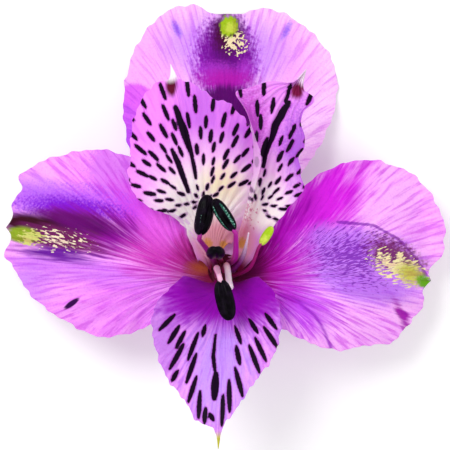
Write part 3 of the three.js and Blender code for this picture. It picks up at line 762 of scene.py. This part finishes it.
def tubePiece(name, rings, fields, material, node):
    # Quads between the rings, and a fan to a middle point at either end. Each field holds a number
    # for each point of the rings, then one for each of the two middle points.
    rows, sides = rings.shape[:2]
    corner = np.arange(rows * sides).reshape(rows, sides)
    after = np.roll(corner, -1, axis=1)
    quads = np.stack([corner[:-1], after[:-1], after[1:], corner[1:]], -1).reshape(-1, 4)
    ends = rows * sides
    first = np.stack([np.full(sides, ends), after[0], corner[0]], -1)
    last = np.stack([np.full(sides, ends + 1), corner[-1], after[-1]], -1)
    points = np.concatenate([rings.reshape(-1, 3), rings[[0, -1]].mean(axis=1)])
    faces = quads.tolist() + first.tolist() + last.tolist()
    newPiece(name, points, faces, fields, material, node)


def tubeLength(shares):
    return {"length": np.concatenate([np.repeat(shares, tubes["sides"]), shares[[0, -1]]])}


def stemPath(part, ring):
    foot = np.append(heading(part["foot"]) * ring, tubes["gap"])
    knots = np.array([foot, *part["route"]])
    t = np.linspace(0, 1, tubes["steps"])
    return evenSpline(knots, t), t


def stalkSkin(name, low, high, tipFrom):
    # Filaments and the style are turgid, glossy stalks with long cells: streaks run their length.
    # The colour passes from low to high about tipFrom of the way along.
    material, add, place = newMaterial(name)
    squeezed = add("VectorMath", {0: place, 1: (1, 1, 0.15)}, operation="MULTIPLY")
    cells = add("TexNoise", {"Vector": squeezed, "Scale": 1 / (0.25 * mm), "Detail": 2.0})
    length = add("Attribute", attribute_name="length", output="Fac")
    uneven = add("Math", {0: cells, 1: 0.25, 2: length}, operation="MULTIPLY_ADD")
    colour = layOver(add, low, high, uneven, 0.3 * tipFrom + 0.1, tipFrom + 0.2)
    bump = add("Bump", {"Strength": 0.3, "Distance": 0.08 * mm, "Height": cells})
    add("OutputMaterial", {0: add("BsdfPrincipled", {
        "Base Color": colour, "Roughness": 0.35, "Normal": bump, "IOR": 1.4, "Subsurface Weight": 0.15,
        "Subsurface Scale": 0.5 * mm})})
    return material


def antherSkin(name, unripe):
    # Ripe anther walls are a dark, papery skin with a waxy gloss, split along each lobe over
    # grainy grey-green pollen. An unripe one is still closed and lime green.
    material, add, place = newMaterial(name)
    wall, tint, pollen, dust = (("#a9cf22", "#d6ea5a", "#8db51e", "#8db51e") if unripe
                                else ("#050207", "#140a1a", "#1f5c4c", "#8fc4b4"))
    grain = add("TexNoise", {"Vector": place, "Scale": 1 / (0.3 * mm), "Detail": 3.0})
    patches = add("TexNoise", {"Vector": place, "Scale": 1 / (1.6 * mm), "Detail": 2.0})
    slit = add("Attribute", attribute_name="slit", output="Fac")
    edge = add("Math", {0: grain, 1: 0.5, 2: slit}, operation="MULTIPLY_ADD")
    opened = add("MapRange", {0: edge, 1: 0.55, 2: 0.8}, interpolation_type="SMOOTHSTEP")
    skinColour = layOver(add, wall, tint, patches, 0.42, 0.66)
    pollenColour = layOver(add, pollen, dust, grain, 0.5, 0.66)
    colour = add("Mix", {0: opened, 6: skinColour, 7: pollenColour}, output=2, data_type="RGBA")
    rough = add("Math", {0: opened, 1: 0.45, 2: 0.3}, operation="MULTIPLY_ADD")
    bump = add("Bump", {"Strength": 0.5, "Distance": 0.12 * mm, "Height": grain})
    add("OutputMaterial", {0: add("BsdfPrincipled", {
        "Base Color": colour, "Roughness": rough, "Normal": bump, "IOR": 1.45,
        "Specular IOR Level": 0.06})})
    return material


def makeFilament(name, part):
    # A tube along the stamen's route that runs on a little way into the anther's base.
    path, t = stemPath(part, tubes["ring"])
    swell = 1 + (part.get("taper", tubes["tipSwell"]) - 1) * smoothStep(0.45, 1.0, t)
    swell = swell + tubes["footSwell"] * smoothStep(0.2, 0.0, t)
    if "points" in part:
        onwards = unit(np.array(part["points"], float)) * tubes["intoAnther"]
        path = np.concatenate([path, path[-1] + onwards * np.array([[0.5], [1.0]])])
        t, swell = np.append(t, [1, 1]), np.append(swell, [swell[-1], swell[-1]])
    else:
        swell[-1] *= tubes["bareTip"]
    radius = part["radius"] * np.repeat(swell[:, None], tubes["sides"], axis=1)
    tipFrom = 1.05 if "taper" in part else 0.6
    tubePiece(f"{name}Filament", sweep(path, radius), tubeLength(t),
              stalkSkin(f"{name}FilamentSkin", part["low"], part["high"], tipFrom),
              f"filament_{name}")


def makeAnther(name, part):
    # Two lobes side by side: an ellipse whose radius is drawn in over a furrow on the face, a
    # shallower one on the back, and a slit down each lobe. Along it the section follows a
    # rounded bullet, (1 - |s|^2.6) to the power 0.45.
    size = part.get("size", 1)
    girth = (1 + size) / 2 * part.get("plump", 1)
    half = anther["length"] * size / 2
    t = np.cos(np.linspace(math.pi, 0, anther["along"]))[1:-1]
    a = around(anther["around"])
    turned = lambda degrees: np.degrees(np.angle(np.exp(1j * (a - math.radians(degrees)))))
    facing = lambda degrees, spread: np.exp(-(turned(degrees) / spread) ** 2)
    slit = sum(facing(90 + side * anther["slitTurn"], anther["slitSpread"]) for side in (-1, 1))
    middle = 1 - smoothStep(0.55, 0.95, np.abs(t))
    opened = part["open"] * middle[:, None] * slit
    power, root = anther["blunt"]
    body = (1 - np.abs(t) ** power) ** root
    (front, frontSpread), (back, backSpread) = anther["furrow"], anther["backFurrow"]
    drawn = 1 - front * facing(90, frontSpread) - back * facing(-90, backSpread)
    radius = body[:, None] * (drawn - anther["slit"] * opened)
    direction = unit(np.array(part["points"], float))
    side = unit(np.cross(direction, (0, 0, 1.0)))
    top = np.cross(side, direction)
    c, s = heading(part.get("roll", 0))
    side, top = side * c + top * s, top * c - side * s
    centre = stemPath(part, tubes["ring"])[0][-1] + direction * (half + anther["lead"])
    bow = anther["bow"] * (1 - t ** 2) - anther["sink"]
    width, depth = anther["width"] * girth / 2, anther["depth"] * part.get("flat", 1) * girth / 2
    points = (centre + (t * half)[:, None, None] * direction + bow[:, None, None] * top
              + (radius * np.cos(a) * width)[..., None] * side
              + (radius * np.sin(a) * depth)[..., None] * top)
    unripe = part.get("unripe", False)
    tubePiece(f"{name}Anther", points[:, ::-1], {"slit": np.append(opened[:, ::-1], [0, 0])},
              antherSkin(f"{name}AntherSkin", unripe),
              f"anther_{name}")


for name, part in stamens.items():
    makeFilament(name, part)
    if "points" in part:
        makeAnther(name, part)
print("stamens made")


def makeStyle(part):
    # A tube that widens into a rounded stigma at its end.
    path, t = stemPath(part, part["ring"])
    ending = np.clip((1 - t) / part["rounding"], 0, 1)
    rounded = np.maximum(np.sqrt(ending * (2 - ending)), part["least"])
    swell = (1 + part["knob"] * smoothStep(0.8, 0.97, t)) * rounded
    radius = part["radius"] * np.repeat(swell[:, None], tubes["sides"], axis=1)
    tubePiece("pinkStyle", sweep(path, radius), tubeLength(t),
              stalkSkin("styleSkin", part["low"], part["high"], 0.7), "style")


makeStyle(style)

# outline: shares of bellyRadius and of length, from the foot to the top; cutFace: the rings of the
# cut face, as shares of the last ring and how far in each lies
ovary = dict(length=6.8, bellyRadius=3.8, footRadius=1.7, topRadius=3.3, lean=8,
             outline=[(0.86, 0.3), (1, 0.62)], ribs=6, ribDepth=0.09, sides=144, steps=60)
stalk = dict(radius=1.25, bendLength=5, bendDrop=2.5, joint=0.6, bendSteps=50,
             straightSteps=70, sides=60, ribs=9, ribDepth=0.035,
             cutFace=[(0.96, -0.02), (0.7, 0.03), (0.35, 0.12)])


def greenSkin(name, green, pale, end):
    # Smooth living green bark with a thin bloom of wax: soft gloss, pale lengthwise ribs, and on
    # the cut face the wet, paler pith with its ring of bundles.
    material, add, place = newMaterial(name)
    patches = add("TexNoise", {"Vector": place, "Scale": 1 / (2.5 * mm), "Detail": 3.0})
    cells = add("TexNoise", {"Vector": place, "Scale": 1 / (0.3 * mm), "Detail": 2.0})
    rib = add("Attribute", attribute_name="rib", output="Fac")
    cut = add("Attribute", attribute_name="cut", output="Fac")
    mixed = add("Math", {0: patches, 1: 0.6, 2: rib}, operation="MULTIPLY_ADD")
    colour = layOver(add, green, pale, mixed, 0.35, 1.3)
    colour = add("Mix", {0: cut, 6: colour, 7: end}, output=2, data_type="RGBA")
    bump = add("Bump", {"Strength": 0.3, "Distance": 0.1 * mm, "Height": cells})
    add("OutputMaterial", {0: add("BsdfPrincipled", {
        "Base Color": colour, "Roughness": 0.5, "Normal": bump, "IOR": 1.42, "Subsurface Weight": 0.05,
        "Subsurface Scale": 0.8 * mm, "Specular IOR Level": 0.2})})
    return material


lean = math.radians(ovary["lean"])
axis = np.array([0, math.sin(lean), math.cos(lean)])
ovaryFoot = -axis * (ovary["length"] + outerRing * math.sin(lean) + stalk["joint"])


def ribWave(part):
    angle = around(part["sides"])
    return angle, 0.5 + 0.5 * np.cos(part["ribs"] * angle)


def makeOvary():
    # A pear turned round its axis. Its radius follows a smooth curve from foot to top, and ribs
    # swell it by a cosine of the angle, most at mid height. Both ends close inwards to a flat.
    foot, top, length = ovary["footRadius"], ovary["topRadius"], ovary["length"]
    belly = [(share * ovary["bellyRadius"], height * length) for share, height in ovary["outline"]]
    outline = spline([(foot, 0), *belly, (top, length)], np.linspace(0, 1, ovary["steps"]))
    rounded = np.concatenate([[(0.5 * foot, 0)], outline, [(0.5 * top, length)]])
    a, wave = ribWave(ovary)
    height = rounded[:, 1] / length
    swell = 1 + ovary["ribDepth"] * (wave ** 2 - 0.5) * np.sin(height * math.pi)[:, None]
    radius = rounded[:, :1] * swell
    across = np.array([1.0, 0, 0])
    upward = np.cross(axis, across)
    points = (ovaryFoot + rounded[:, 1][:, None, None] * axis + (radius * np.cos(a))[..., None] * across
              + (radius * np.sin(a))[..., None] * upward)
    rim = np.repeat(smoothStep(0.66, 0.84, height), ovary["sides"])
    fields = {"rib": np.append(np.tile(wave, len(rounded)), [0, 0]), "cut": np.append(rim, [0, 1])}
    tubePiece("ribbedOvary", points, fields, greenSkin("ovarySkin", "#5f8a2c", "#a9bf5e", "#5c0a2a"),
              "ovary")


def makeStalk():
    # A ribbed tube down from the ovary's foot, round a quadratic bend, then straight to its cut
    # end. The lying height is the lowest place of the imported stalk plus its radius.
    low = np.array(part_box("cut_stalk")[0]) / mm - throat
    lying = low[2] + stalk["radius"]
    start = ovaryFoot - axis * stalk["joint"]
    end = np.array([start[0], start[1] - stalk["bendLength"], lying])
    corner = start - axis * stalk["bendDrop"]
    corner[2] = lying
    t = np.linspace(0, 1, stalk["bendSteps"])[:, None]
    bend = start * (1 - t) ** 2 + 2 * corner * t * (1 - t) + end * t * t
    cutEnd = np.array([end[0], low[1], lying])
    straight = end + (cutEnd - end) * np.linspace(0, 1, stalk["straightSteps"])[1:, None]
    path = np.concatenate([bend, straight])
    a, wave = ribWave(stalk)
    section = stalk["radius"] * (1 - stalk["ribDepth"] * (1 - wave))
    rings = sweep(path, np.tile(section, (len(path), 1)))
    middle = rings[-1].mean(0)
    face = [middle + (rings[-1] - middle) * share + (0, dip, 0) for share, dip in stalk["cutFace"]]
    rings = np.concatenate([rings, face])
    cut = np.repeat([0] * len(path) + [0.6, 1, 1], stalk["sides"])
    fields = {"rib": np.append(np.tile(wave, len(rings)), [0, 0]), "cut": np.append(cut, [0, 1])}
    tubePiece("cutStalk", rings, fields, greenSkin("stalkSkin", "#668f35", "#9fb95c", "#dfe6b4"),
              "cut_stalk")


makeOvary()
makeStalk()
print("ovary and stalk made")

# ---- camera, light and floor

# metres, but lens is in mm, and world is the strength of the white surroundings
stage = dict(cameraDistance=0.98, aboveFloor=0.015, lens=400, view=0.0879, floorSize=6.0,
             world=0.64)
lights = {  # place, size, watts
    "key": ((-0.35, 0.35, 0.8), 0.5, 4.2),
    "fill": ((0.5, -0.2, 0.7), 0.6, 1.4),
}


def makeStage():
    camera = bpy.data.cameras.new("camera")
    camera.lens = stage["lens"]
    camera.sensor_width = stage["view"] * stage["lens"] / stage["cameraDistance"]
    holder = addObject("camera", camera)
    holder.location = (0, 0, stage["cameraDistance"] + stage["aboveFloor"])
    bpy.context.scene.camera = holder
    for name, (place, size, watts) in lights.items():
        light = bpy.data.lights.new(name, "AREA")
        light.shape, light.size, light.energy = "DISK", size, watts
        lamp = addObject(name, light)
        lamp.location = place
        aim = Vector((0, 0, 0.01)) - Vector(place)
        lamp.rotation_euler = aim.to_track_quat("-Z", "Y").to_euler()
    world = bpy.data.worlds.new("softRoom")
    bpy.context.scene.world = world
    world.use_nodes = True
    background = world.node_tree.nodes["Background"]
    background.inputs[0].default_value = (1, 1, 1, 1)
    background.inputs[1].default_value = stage["world"]
    bpy.context.scene.view_settings.view_transform = "Standard"
    half = stage["floorSize"] / 2
    mesh = bpy.data.meshes.new("floor")
    corners = [(-half, -half), (half, -half), (half, half), (-half, half)]
    mesh.from_pydata([(x, y, cadLow.z) for x, y in corners], [], [(0, 1, 2, 3)])
    floor = addObject("floor", mesh)
    paper, add, place = newMaterial("mattePaper")
    fibres = add("TexNoise", {"Vector": place, "Scale": 1 / (0.8 * mm), "Detail": 3.0})
    tone = add("Mix", {0: fibres, 6: "#fafafa", 7: "#fefefe"}, output=2, data_type="RGBA")
    add("OutputMaterial", {0: add("BsdfPrincipled", {
        "Base Color": tone, "Roughness": 0.9, "Emission Color": (1, 1, 1, 1),
        "Emission Strength": 0.12})})
    mesh.materials.append(paper)


makeStage()
